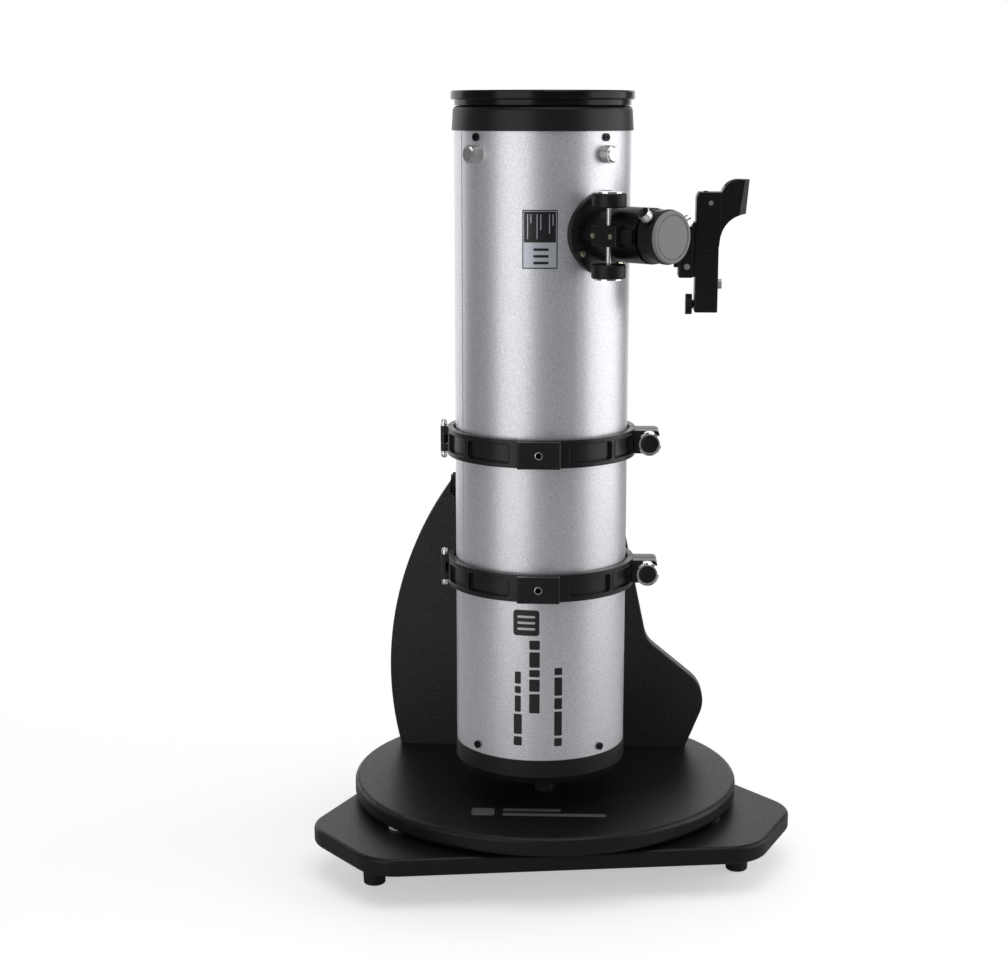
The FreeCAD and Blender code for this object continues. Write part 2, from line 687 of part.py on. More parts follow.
def make_tube_shell():
    outer = D["tube_radius"]
    inner = outer - D["tube_wall"]
    shell = lathe([(inner, 0), (outer, 0), (outer, D["tube_long"]), (inner, D["tube_long"])])
    holes = [cylinder(24, 30, tuple(radial(-45) * 66 + V(0, 0, D["focus_z"].value)), radial(-45))]
    for angle in CORNER_ANGLES:
        for level, radius in ((8, 1.6), (D["spider_z"].value, 2), (583, 1.6)):
            start = radial(angle) * (outer.value - 6) + V(0, 0, level)
            holes.append(cylinder(radius, 10, tuple(start), radial(angle)))
    for angle in FLANGE_ANGLES:
        seat = flange_seat(angle)
        hole = cylinder(1.6, 40)
        hole.Placement = frame(0, 0, D["focus_z"], FOCUS_TURN) * frame(seat.x, seat.y, 60)
        holes.append(hole)
    node(cut(shell, *holes), "tube_shell", TUBE)


def make_front_ring():
    sleeve = D["tube_radius"] - D["tube_wall"] - 0.05
    low = D["tube_long"]
    profile = [(D["lip_bore"], D["lip_top"]), (D["lip_bore"], D["lip_top"] - 10), (sleeve - 2.2, low),
               (sleeve - 2.2, low - 11), (sleeve, low - 11), (sleeve, low), (D["lip_radius"], low),
               (D["lip_crown"], D["lip_top"])]
    body = lathe(profile)
    rounded_body(body, D["lip_round"], lambda edge: is_circle(edge, D["lip_crown"], D["lip_top"]))
    holes = []
    for angle in CORNER_ANGLES:
        start = radial(angle) * 74 + V(0, 0, 583)
        holes.append(cylinder(1.6, 12, tuple(start), radial(angle)))
    node(cut(body, *holes), "front_ring", TUBE)


def make_tube_screws():
    """Black pan-head screws that hold the front ring and the rear cell in the tube's ends."""
    screws = []
    for level in TUBE_SCREW_LEVELS:
        for angle in CORNER_ANGLES:
            seat = radial(angle) * D["tube_radius"].value + V(0, 0, level)
            screws.append(pan_screw(tuple(seat), radial(angle), 3.6, 2.2, 1.6, 4))
    node(group(screws), "tube_screws", TUBE)


def make_dust_cap():
    plug = D["lip_bore"] - CLEAR
    low = D["lip_top"] + 0.2
    profile = [(0, D["cap_top"]), (0, D["cap_low"]), (plug - 2, D["cap_low"] - 1), (plug - 2, low - 9),
               (plug, low - 9), (plug, low), (D["cap_neck"], low), (D["cap_neck"], D["cap_low"]),
               (D["cap_radius"], D["cap_low"]), (D["cap_radius"], D["cap_top"])]
    body = lathe(profile)
    rounded_body(body, 1.6, lambda edge: is_circle(edge, D["cap_radius"]))
    ridge = torus(60, 1.5, (0, 0, D["cap_top"]))
    node(cut(body, ridge), "dust_cap", TUBE)


def make_spider():
    level = D["spider_z"]
    hub = cut(cylinder(15, 16, (0, 0, level - 8)), cylinder(3, 40, (0, 0, level - 20)))
    pieces = [hub]
    nuts = []
    for angle in CORNER_ANGLES:
        turn = turned(angle)
        pieces.append(box(66, 0.8, 12, tuple(radial(angle) * 47 + V(0, 0, level.value - 6)), turn))
        pieces.append(cylinder(2, 15, tuple(radial(angle) * 77 + V(0, 0, level.value)), radial(angle)))
        seat = tuple(radial(angle) * (D["tube_radius"].value + 0.02) + V(0, 0, level.value))
        nut = ridged_knob(8, 9.5, 24, 0.55, seat, radial(angle))
        cap_start = tuple(radial(angle) * (D["tube_radius"].value + 9.5) + V(0, 0, level.value))
        dome = cone(7.4, 6.2, 1.6, cap_start, radial(angle))
        bore = cylinder(2, 9.5, tuple(radial(angle) * 82.5 + V(0, 0, level.value)), radial(angle))
        nuts.append(cut(fuse(nut, dome), bore))
    holes = []
    for angle, x, y in ring_of(3, 10, 45):
        holes.append(cylinder(1.6, 40, (x, y, level - 20)))
    node(cut(fuse(*pieces), *holes), "spider", TUBE)
    node(group(nuts), "spider_nuts", TUBE)


def make_secondary():
    """A slanted flat mirror under the hub that turns the light out through the focuser."""
    behind = FreeCAD.Rotation(X, 225)
    radius = D["secondary_radius"]
    thick = 5.0
    top = D["spider_z"] - 25 - D["focus_z"]
    plate = box(80, 80, thick)
    plate.Placement = FreeCAD.Placement(ORIGIN, behind) * frame(-40, -40, 0)
    node(common(cylinder(radius, 90, (0, -45, 0), Y), plate), "secondary_mirror", FOCUSER)
    backing = box(120, 120, 90)
    backing.Placement = FreeCAD.Placement(ORIGIN, behind) * frame(-60, -60, thick)
    stem = cylinder(radius - 1.5, top + 30, (0, -30, 0), Y)
    bolt_hole = cylinder(3, 12, (0, top - 10, 0), Y)
    node(cut(common(stem, backing), bolt_hole), "secondary_holder", FOCUSER)
    low = D["spider_z"] - 25
    screws = [cylinder(1.6, 35, (x, y, low)) for angle, x, y in ring_of(3, 10, 45)]
    bolt = fuse(cylinder(3, 43, (0, 0, low - 10)), cylinder(5.5, 4, (0, 0, low + 33)))
    node(group(screws + [bolt]), "secondary_screws", TUBE)


def make_rear_cell():
    """The cell that closes the tube's lower end: a rim, a sleeve inside the tube and a web."""
    sleeve = D["tube_radius"] - D["tube_wall"] - 0.05
    rim = D["cell_radius"]
    deep = D["cell_deep"]
    body = lathe([(22, -19), (sleeve - 3, -19), (sleeve - 6, -deep), (rim - 7, -deep), (rim - 3, -deep + 1.2),
                  (rim, -deep + 8), (rim, 0), (sleeve, 0), (sleeve, 15), (sleeve - 2.4, 15),
                  (sleeve - 2.4, -15), (22, -15)])
    holes = []
    for angle, x, y in ring_of(3, D["knob_circle"], KNOB_START):
        holes.append(cylinder(2.5 + RUNNING, 10, (x, y, -22)))
    for angle, x, y in ring_of(3, D["knob_circle"], KNOB_START + 60):
        holes.append(cylinder(2, 10, (x, y, -22)))
    for angle in CORNER_ANGLES:
        holes.append(cylinder(1.6, 12, tuple(radial(angle) * 74 + V(0, 0, 8)), radial(angle)))
    for angle in (KNOB_START + 30 + 60 * step for step in range(6)):
        holes.append(sector(30, 70, -22, 10, angle - 14, 28))
    node(cut(body, *holes), "rear_cell", TUBE)


KNOB_START = -84.0
SUPPORT_LOW = -9.0
SUPPORT_TOP = -5.5


def make_primary():
    radius = D["mirror_radius"]
    thick = D["mirror_thick"]
    blank = cylinder(radius, thick, (0, 0, SUPPORT_TOP))
    curve = 1300.0
    centre = SUPPORT_TOP + thick.value + math.sqrt(curve ** 2 - radius.value ** 2)
    hollow = doc.addObject("Part::Sphere", "figure")
    hollow.Radius = curve
    hollow.Angle1 = -90
    hollow.Angle2 = -80
    hollow.Placement = frame(0, 0, centre)
    blank = cut(blank, hollow)
    blank = softened(blank, 0.8, lambda edge: is_circle(edge, radius))
    node(blank, "primary_mirror", TUBE)
    plate = cylinder(radius + 2, SUPPORT_TOP - SUPPORT_LOW, (0, 0, SUPPORT_LOW))
    holes = [cylinder(15, 6, (0, 0, SUPPORT_LOW - 1))]
    for angle, x, y in ring_of(3, D["knob_circle"], KNOB_START):
        holes.append(cylinder(2.5 + RUNNING, 6, (x, y, SUPPORT_LOW - 1)))
    node(cut(plate, *holes), "mirror_support", TUBE)
    clips = []
    for angle, x, y in ring_of(3, radius + 3.6, KNOB_START + 60):
        place = frame(x, y, SUPPORT_TOP, turned(angle))
        post = box(4, 12, thick + 1.2)
        lip = box(9, 12, 1.6, (-2.5, 0, thick + 0.4))
        for block in (post, lip):
            block.Placement = place * block.Placement
        clips.append(cut(fuse(post, lip), cylinder(radius, thick + 0.3, (0, 0, SUPPORT_TOP))))
    node(group(clips), "mirror_clips", TUBE)


def make_collimation():
    """Three adjusting knobs and three lock screws under the rear cell."""
    for number, (angle, x, y) in enumerate(ring_of(3, D["knob_circle"], KNOB_START), start=1):
        grip = ridged_knob(9, 11, 12, 1.5, (0, 0, 0))
        neck = cylinder(6, 3, (0, 0, 11))
        stem = cylinder(2.5, 31, (0, 0, 0))
        low = -D["cell_deep"] - 12.2
        node(fuse(grip, neck, stem), "collimation_knob_%d" % number, TUBE * frame(x, y, low))
    locks = []
    for angle, x, y in ring_of(3, D["knob_circle"], KNOB_START + 60):
        head = ridged_knob(6, 7, 12, 1.0, (x, y, -30))
        locks.append(fuse(head, cylinder(2, 21, (x, y, -30))))
    node(group(locks), "mirror_lock_screws", TUBE)


# ---------------------------------------------------------------- focuser

COVER_SCREWS = (101, 123)
FLANGE_ANGLES = (30, 120, 210, 300)
FLANGE_CIRCLE = 33.5


def flange_seat(angle):
    """Where a flange screw's head sits, level with the curved face at its inner side."""
    place = radial(angle) * FLANGE_CIRCLE
    face = (D["tube_radius"] + D["flange_rise"]).value
    return V(place.x, place.y, math.sqrt(face ** 2 - (abs(place.x) - 3.2) ** 2))


def make_flange():
    """A round saddle that follows the tube, with a low boss under each of its screws."""
    disc = cylinder(D["flange_radius"], 32, (0, 0, 60))
    skin = cylinder(D["tube_radius"] + D["flange_rise"], 100, (0, -50, 0), Y)
    flange = softened(common(disc, skin), 1.2, lambda edge: edge.BoundBox.ZMin > 70)
    bosses = []
    for angle in FLANGE_ANGLES:
        seat = flange_seat(angle)
        bosses.append(cylinder(4.4, 12, (seat.x, seat.y, seat.z - 12)))
    return fuse(flange, *bosses)


def make_focuser_base():
    """Flange saddled on the tube, the round housing, the pinion block and the rack's cover, in
    the focuser's frame."""
    side = D["pinion_side"]
    housing = cylinder(D["housing_radius"], D["housing_end"] - 70, (0, 0, 70))
    block = box(11, 19, D["block_long"], (-side - D["block_rise"] + 5.5, 0, D["block_low"]))
    rack_cover = box(8, 13, D["housing_end"] - 118, (-side + 1.5, 0, 118))
    saddle_cut = cylinder(D["tube_radius"] + 0.05, 100, (0, -50, 0), Y)
    draw_bore = cylinder(D["draw_radius"] + RUNNING, 100, (0, 0, 60))
    rack_slot = box(6.6, 7.4, 100, (-D["draw_radius"] - 1.2, 0, 60))
    shaft_bore = cylinder(D["pinion_shaft"] + RUNNING, 60, (-side, -30, D["pinion_out"]), Y)
    pinion_room = cylinder(4.1, 9, (-side, -4.5, D["pinion_out"]), Y)
    holes = []
    for angle in FLANGE_ANGLES:
        seat = flange_seat(angle)
        holes.append(cylinder(1.6, 40, (seat.x, seat.y, 60)))
    for out in COVER_SCREWS:
        holes.append(cylinder(1.2, 6, (-side - D["block_rise"] - 1, 0, out), X))
    whole = fuse(make_flange(), housing, block, rack_cover)
    node(cut(whole, saddle_cut, draw_bore, rack_slot, shaft_bore, pinion_room, *holes),
         "focuser_housing", FOCUSER)


def make_focuser_screws():
    screws = [pan_screw(tuple(flange_seat(angle)), Z, 3.0, 1.8, 1.6, 12) for angle in FLANGE_ANGLES]
    face = -D["pinion_side"] - D["block_rise"] - D["cover_thick"]
    for out in COVER_SCREWS:
        screws.append(pan_screw((face, 0, out), V(-1, 0, 0), 2.4, 1.4, 1.2, 6))
    node(group(screws), "focuser_screws", FOCUSER)


def make_pinion_cover():
    thick = D["cover_thick"]
    seat = -D["pinion_side"] - D["block_rise"]
    plate = box(thick, 17.5, D["block_long"] - 1, (seat - thick / 2, 0, D["block_low"] + 0.5))
    plate = softened(plate, 0.7, lambda edge: edge.CenterOfMass.x < float(seat - thick) + 0.1)
    holes = [cylinder(1.2, 6, (seat - 4, 0, out), X) for out in COVER_SCREWS]
    node(cut(plate, *holes), "pinion_cover", FOCUSER)


def make_focus_shaft():
    """Pinion shaft, its gear and the two knobs, turning together about the focuser's Y."""
    reach = D["focus_knob_high"]
    shaft = cylinder(D["pinion_shaft"], 2 * reach, (0, -reach, 0), Y)
    gear = ridged_knob(3.6, 7, 12, 0.6, (0, -3.5, 0), Y)
    place = FOCUSER * frame(-D["pinion_side"], 0, D["pinion_out"])
    node(fuse(shaft, gear), "pinion_shaft", place)
    grip_long = D["focus_knob_high"] - D["focus_knob_low"] - 1
    grips = []
    discs = []
    for side in (1, -1):
        axis = Y * side
        start = (0, side * D["focus_knob_low"], 0)
        grip = smooth_knob(D["focus_knob_radius"], grip_long, 0.9)
        grip.Placement = frame(*start, along(axis))
        bore = cylinder(D["pinion_shaft"], 60, (0, -side * 5, 0), axis)
        crown = (0, side * (D["focus_knob_high"] - 1.0), 0)
        seat = cylinder(D["focus_knob_radius"] - 3, 3, crown, axis)
        grips.append(cut(grip, bore, seat))
        disc_bore = cylinder(D["pinion_shaft"], 60, (0, -side * 5, 0), axis)
        discs.append(cut(cylinder(D["focus_knob_radius"] - 3, 1.4, crown, axis), disc_bore))
    node(group(grips), "focus_knobs", place)
    node(group(discs), "focus_knob_discs", place)


def make_drawtube():
    start = 76.0
    end = D["holder_start"] + D["draw_seat"]
    body = pipe(D["draw_radius"], D["draw_bore"], end - start, (0, 0, start))
    rack = box(3.2, 6.6, 40, (-D["draw_radius"] - 0.4, 0, start + 1))
    node(fuse(body, cut(rack, cylinder(D["draw_radius"] - 1, 80, (0, 0, 70)))), "drawtube", FOCUSER)


def thumbscrew_angles():
    return (140, 22)


def make_eyepiece_holder():
    start = D["holder_start"]
    end = D["holder_end"]
    radius = D["holder_radius"]
    seat = start + D["draw_seat"]
    body = lathe([(D["draw_radius"], start), (radius - 1, start), (radius, start + 1), (radius, start + 3.6),
                  (radius - 0.5, start + 4), (radius - 0.5, end - 4), (radius, end - 3.6),
                  (radius, end - 0.6), (radius - 0.6, end), (D["eyepiece_radius"], end),
                  (D["eyepiece_radius"], seat), (D["draw_radius"], seat)])
    holes = []
    for angle in thumbscrew_angles():
        inner = radial(angle) * 14 + V(0, 0, D["thumbscrew_out"].value)
        holes.append(cylinder(1.8 + RUNNING, 14, tuple(inner), radial(angle)))
    node(cut(body, *holes), "eyepiece_holder", FOCUSER)


def make_thumbscrews():
    for number, angle in enumerate(thumbscrew_angles(), start=1):
        grip = ridged_knob(5.6, 8, 16, 0.6, (0, 0, 10.2))
        neck = cylinder(3, 2.2, (0, 0, 8.2))
        stem = cylinder(1.8, 11, (0, 0, 0))
        at = radial(angle) * (D["eyepiece_radius"].value + 0.5) + V(0, 0, D["thumbscrew_out"].value)
        place = FOCUSER * FreeCAD.Placement(at, along(radial(angle)))
        node(fuse(grip, neck, stem), "thumbscrew_%d" % number, place)


def make_end_cap():
    """The plug that keeps dust out of the eyepiece socket, with a raised lip round its face."""
    end = D["holder_end"] + 0.3
    face = D["end_cap_face"]
    radius = D["end_cap_radius"]
    plug = D["eyepiece_radius"] - CLEAR
    low = end - D["end_cap_plug"]
    body = lathe([(0, end + 1), (plug - 1.6, end + 1), (plug - 1.6, low), (plug, low), (plug, end),
                  (radius, end), (radius, face - 0.8), (radius - 0.8, face), (radius - 3.2, face),
                  (radius - 3.4, face - 0.8), (radius - 4, face - 0.8), (radius - 4.2, face - 0.3),
                  (0, face - 0.3)])
    node(body, "focuser_cap", FOCUSER)


# ---------------------------------------------------------------- finder

FINDER_SCREWS = (462, 480)
HEIGHT_KNOB_LEVEL = 428
SIDE_KNOB_LEVEL = 447
FINDER_PIVOT = (157.1, 522.6)
BRACKET_SCREW = (135.8, 463.9)
HOOD_MIDDLE = 528


def runs_along(edge, direction):
    return abs(edge.tangentAt(edge.FirstParameter).dot(direction)) > 0.9


def make_finder_bracket():
    """The foot screwed to the tube, the block on it and the plate that carries the sight."""
    inner = D["finder_in"]
    shoe = box(46, 18, 26, (105, 0, 479))
    pad = box(12, 34, 44, (84, 0, 470))
    stalk = cut(fuse(shoe, pad), cylinder(D["tube_radius"] + 0.05, 200, (0, 0, 400)))
    block = softened(box(13.2, 26, 51.5, (134.4, 0, 453.5)), 2, lambda edge: edge.CenterOfMass.x < 128)
    plate = box(inner - 141, 22, 50.5, ((inner + 141) / 2, 0, 454.1))
    stop = cylinder(2.6, 6, (123.6, -7, 465.5), X)
    holes = [cylinder(1.5, 20, (130, 0, level), X) for level in FINDER_SCREWS]
    holes.append(cylinder(1.2, 6, (BRACKET_SCREW[0], -14, BRACKET_SCREW[1]), Y))
    node(cut(fuse(stalk, block, plate, stop), *holes), "finder_bracket", TUBE)


def make_finder_body():
    inner = D["finder_in"]
    outer = D["finder_out"]
    root = D["finder_root"]
    low = D["finder_low"]
    high = D["finder_high"]
    side = [(inner, low), (outer, low), (outer, low + 60), (root, low + 71), (root, high), (inner + 2, high),
            (inner, high - 5)]
    body = slab(side, D["finder_half"] * 2, "XZ_Plane", True)
    reach = outer.value + 0.1
    body = softened(body, 1.2, lambda edge: runs_along(edge, Y) and edge.CenterOfMass.x < reach)
    body = softened(body, 0.7, lambda edge: not runs_along(edge, Y) and edge.CenterOfMass.x < reach
                    and abs(edge.CenterOfMass.y) > D["finder_half"].value - 0.1)
    seat = outer - 6
    holes = [cylinder(2 + RUNNING, 12.5, (inner - 0.1, 0, HEIGHT_KNOB_LEVEL), X)]
    for level in FINDER_SCREWS:
        holes.append(cylinder(3.3, 40, (seat, 0, level), X))
        holes.append(cylinder(1.5, 40, (seat - 34, 0, level), X))
    pivot_x, pivot_z = FINDER_PIVOT
    screws = [pan_screw((seat, 0, level), X, 3, 1.5, 1.5, 26) for level in FINDER_SCREWS]
    for direction in (-1, 1):
        floor = direction * (D["finder_half"] - 1.6)
        holes.append(cylinder(2.6, 6, (pivot_x, floor, pivot_z), Y * direction))
        holes.append(cylinder(1, 6, (pivot_x, floor - direction * 3, pivot_z), Y * direction))
        holes.append(box(40, 1, 0.7, (155, direction * D["finder_half"], 479)))
        screws.append(pan_screw((pivot_x, floor, pivot_z), Y * direction, 2.2, 1.2, 1, 3))
    dome = cylinder(2.2, 1.8, (152.6, 0, high - 1))
    node(fuse(cut(body, *holes), dome), "finder_body", TUBE)
    screws.append(pan_screw((BRACKET_SCREW[0], -13, BRACKET_SCREW[1]), Y * -1, 2.8, 1.3, 1.2, 5))
    node(group(screws), "finder_screws", TUBE)


def sight_passage():
    """The way through the hood, along the tube."""
    long = D["hood_out"] - D["finder_root"] - 9.5
    place = (D["finder_root"] + 3.5 + long / 2, 0, D["hood_low"] - 2)
    block = box(long, 2 * D["finder_half"] - 7, 60, place)
    edge_x = (D["hood_out"] - 6.1).value
    return softened(block, 4.5, lambda edge: runs_along(edge, Z) and edge.CenterOfMass.x > edge_x)


def hood_trim(at_x, at_y, facing, lean):
    """A cutter whose face turns to an angle about Z and leans outward towards the top."""
    place = frame(at_x, at_y, HOOD_MIDDLE, turned(facing) * turned(lean, Y))
    block = box(20, 80, 80)
    block.Placement = place * frame(0, -40, -40)
    return block


def make_finder_hood():
    """The arched window frame that stands out from the top of the body, and its slanted glass."""
    root = D["finder_root"]
    end = D["hood_out"]
    low = D["hood_low"]
    high = D["hood_high"]
    blank = box(end - root, 2 * D["finder_half"], high - low, ((end + root) / 2, 0, low))
    blank = softened(blank, D["shoulder_radius"], lambda edge: runs_along(edge, Y)
                     and edge.CenterOfMass.x < root.value + 0.1 and edge.CenterOfMass.z > high.value - 0.1)
    trims = [hood_trim(end - 1.4, 0, 0, 4.6)]
    for side in (-1, 1):
        trims.append(hood_trim(end - 6.8, side * D["finder_half"], side * 45, 5.9))
    scoop = cylinder(D["scoop_radius"], 60, (D["scoop_x"], -30, D["scoop_z"]), Y)
    node(cut(blank, scoop, sight_passage(), *trims), "finder_hood", TUBE)
    glass = box(40, 30, 1.6)
    glass.Placement = frame((root + end) / 2, 0, 533, turned(-12, Y)) * glass.Placement
    node(common(sight_passage(), glass), "sight_window", TUBE)


def make_finder_knobs():
    grip = ridged_knob(9.6, 6, 20, 0.9)
    neck = cylinder(4, 1.7, (0, 0, 6))
    stem = cylinder(2, 18, (0, 0, 0))
    place = TUBE * frame(D["finder_in"] - 8, 0, HEIGHT_KNOB_LEVEL, along(X))
    node(fuse(grip, neck, stem), "finder_height_knob", place)
    side_knob = ridged_knob(4.6, 3.7, 12, 0.8)
    node(side_knob, "finder_side_knob", TUBE * frame(D["finder_out"] + CLEAR, 0, SIDE_KNOB_LEVEL, along(X)))


# ---------------------------------------------------------------- checks and files

def broken_objects():
    problems = []
    for item in doc.Objects:
        if "Invalid" in item.State or "Error" in item.State:
            problems.append("%s: %s" % (item.Label, item.State))
    for piece in nodes:
        shape = piece.Shape
        if shape.isNull() or not shape.isValid() or not shape.Solids:
            problems.append("%s: shape is not a valid solid" % piece.Label)
    return problems


def build():
    for make in (make_ground_board, make_feet, make_slide_pads, make_azimuth_pivot, make_turntable,
                 make_side_arm, make_arm_screws, make_altitude_bearing, make_tension_knob, make_saddle,
                 make_saddle_knob, make_dovetail, make_clamp_rings, make_tube_shell, make_front_ring,
                 make_tube_screws, make_dust_cap, make_spider, make_secondary, make_rear_cell,
                 make_primary, make_collimation, make_focuser_base, make_focuser_screws,
                 make_pinion_cover, make_focus_shaft, make_drawtube, make_eyepiece_holder,
                 make_thumbscrews, make_end_cap, make_finder_bracket, make_finder_body,
                 make_finder_hood, make_finder_knobs):
        make()
    doc.recompute()
    problems = broken_objects()
    if problems:
        raise RuntimeError("; ".join(problems))
    os.makedirs("parts", exist_ok=True)
    for piece in nodes:
        piece.Shape.exportStep("parts/%s.step" % piece.Label)
        print(piece.Label, len(piece.Shape.Solids), round(piece.Shape.Volume))


build()
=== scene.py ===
import json
import math

import bmesh
import bpy
from mathutils import Matrix, Vector


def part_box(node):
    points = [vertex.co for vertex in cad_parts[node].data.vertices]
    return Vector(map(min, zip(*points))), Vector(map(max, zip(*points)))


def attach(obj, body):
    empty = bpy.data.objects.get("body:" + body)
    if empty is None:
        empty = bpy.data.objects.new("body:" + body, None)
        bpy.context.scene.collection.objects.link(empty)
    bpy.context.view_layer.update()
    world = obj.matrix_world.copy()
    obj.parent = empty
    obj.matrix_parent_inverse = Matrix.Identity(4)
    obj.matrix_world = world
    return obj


# Looks for the tabletop dobsonian. Metres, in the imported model's frame.

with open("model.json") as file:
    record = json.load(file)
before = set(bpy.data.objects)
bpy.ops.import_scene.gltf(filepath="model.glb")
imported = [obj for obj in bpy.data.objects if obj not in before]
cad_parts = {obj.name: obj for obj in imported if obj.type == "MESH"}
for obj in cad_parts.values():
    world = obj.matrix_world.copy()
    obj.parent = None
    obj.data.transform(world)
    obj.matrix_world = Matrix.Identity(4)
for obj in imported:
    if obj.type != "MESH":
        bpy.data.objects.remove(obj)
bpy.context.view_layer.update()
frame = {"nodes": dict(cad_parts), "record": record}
nodes = frame["nodes"]

TUBE_LOW, TUBE_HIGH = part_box("tube_shell")
TUBE_MIDDLE = (TUBE_LOW + TUBE_HIGH) / 2
TUBE_RADIUS = (TUBE_HIGH.y - TUBE_LOW.y) / 2
TABLE_LOW, TABLE_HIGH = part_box("turntable_board")
MM = 0.001
CELL_SKIRT = 25
RING_LOW, RING_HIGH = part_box("lower_ring_rear")
RING_MIDDLE_LOW = (RING_LOW.z + RING_HIGH.z) / 2


# ---------------------------------------------------------------- camera, light and floor

def make_camera():
    data = bpy.data.cameras.new("photo_camera")
    data.lens = 69.48
    data.sensor_width = 36.0
    data.shift_y = 0.0702
    data.clip_start = 0.05
    camera = bpy.data.objects.new("photo_camera", data)
    bpy.context.scene.collection.objects.link(camera)
    yaw = math.radians(2.5)
    pitch = 0.2241
    camera.location = (0.0304, -1.9263, 0.7358)
    camera.rotation_euler = (math.pi / 2 - pitch, 0, yaw)
    bpy.context.scene.camera = camera


def area_light(name, azimuth, distance, height, wide, tall, power, aim_height=0.4):
    """A softbox round the object: azimuth 0 is in front (-Y), positive towards +X."""
    data = bpy.data.lights.new(name, "AREA")
    data.shape = "RECTANGLE"
    data.size = wide
    data.size_y = tall
    data.energy = power
    light = bpy.data.objects.new(name, data)
    bpy.context.scene.collection.objects.link(light)
    turn = math.radians(azimuth)
    place = Vector((math.sin(turn) * distance, -math.cos(turn) * distance, height))
    light.location = place
    aim = Vector((TUBE_MIDDLE.x, TUBE_MIDDLE.y, aim_height)) - place
    light.rotation_euler = aim.to_track_quat("-Z", "Y").to_euler()
    light.visible_camera = False
    return light


def add_light_mix(tree, for_camera, for_others, output):
    """Shows one shader to the camera and another to reflections and bounces."""
    mix = tree.nodes.new("ShaderNodeMixShader")
    path = tree.nodes.new("ShaderNodeLightPath")
    tree.links.new(path.outputs["Is Camera Ray"], mix.inputs[0])
    tree.links.new(for_others, mix.inputs[1])
    tree.links.new(for_camera, mix.inputs[2])
    tree.links.new(mix.outputs[0], output)


def make_world():
    world = bpy.data.worlds.new("studio")
    world.use_nodes = True
    tree = world.node_tree
    tree.nodes.clear()
    output = tree.nodes.new("ShaderNodeOutputWorld")
    fill = tree.nodes.new("ShaderNodeBackground")
    fill.inputs["Color"].default_value = (0.93, 0.95, 1.0, 1)
    fill.inputs["Strength"].default_value = 0.19
    white = tree.nodes.new("ShaderNodeBackground")
    white.inputs["Color"].default_value = (1, 1, 1, 1)
    add_light_mix(tree, white.outputs[0], fill.outputs[0], output.inputs["Surface"])
    bpy.context.scene.world = world


def paper_material(clear_from, clear_to):
    """White paper that glows a little to the camera and fades into the white backdrop."""
    paper = bpy.data.materials.new("paper")
    paper.use_nodes = True
    tree = paper.node_tree
    shader = tree.nodes["Principled BSDF"]
    shader.inputs["Base Color"].default_value = (0.82, 0.82, 0.82, 1)
    shader.inputs["Roughness"].default_value = 0.9
    shader.inputs["Specular IOR Level"].default_value = 0.1
    dull = tree.nodes.new("ShaderNodeBsdfDiffuse")
    dull.inputs["Color"].default_value = (0.52, 0.52, 0.52, 1)
    glow = tree.nodes.new("ShaderNodeEmission")
    glow.inputs["Strength"].default_value = 0.48
    lit = tree.nodes.new("ShaderNodeAddShader")
    tree.links.new(shader.outputs[0], lit.inputs[0])
    tree.links.new(glow.outputs[0], lit.inputs[1])
    seen = tree.nodes.new("ShaderNodeMixShader")
    add_light_mix(tree, lit.outputs[0], dull.outputs[0], seen.inputs[1])
    clear = tree.nodes.new("ShaderNodeBsdfTransparent")
    tree.links.new(clear.outputs[0], seen.inputs[2])
    place = tree.nodes.new("ShaderNodeTexCoord")
    distance = tree.nodes.new("ShaderNodeVectorMath")
    distance.operation = "LENGTH"
    tree.links.new(place.outputs["Object"], distance.inputs[0])
    fade = tree.nodes.new("ShaderNodeMapRange")
    fade.interpolation_type = "SMOOTHSTEP"
    fade.inputs["From Min"].default_value = clear_from
    fade.inputs["From Max"].default_value = clear_to
    tree.links.new(distance.outputs["Value"], fade.inputs["Value"])
    tree.links.new(fade.outputs["Result"], seen.inputs[0])
    tree.links.new(seen.outputs[0], tree.nodes["Material Output"].inputs["Surface"])
    return paper


def make_stage():
    scene = bpy.context.scene
    scene.view_settings.view_transform = "Standard"
    make_world()
    mesh = bpy.data.meshes.new("floor")
    half = 2.0
    corners = [(-half, -half, 0), (half, -half, 0), (half, half, 0), (-half, half, 0)]
    mesh.from_pydata(corners, [], [(0, 1, 2, 3)])
    mesh.materials.append(paper_material(0.75, 1.7))
    floor = bpy.data.objects.new("floor", mesh)
    scene.collection.objects.link(floor)
    floor.location.z = -0.0004

    area_light("front_left_box", -34, 2.6, 0.55, 2.1, 1.9, 16)
    area_light("right_box", 90, 2.0, 0.8, 2.5, 1.9, 23)
    area_light("back_box", -162, 2.4, 0.9, 5.2, 2.2, 34)
    area_light("top_box", 10, 0.6, 2.6, 2.2, 2.2, 22, 0.0)


# ---------------------------------------------------------------- materials

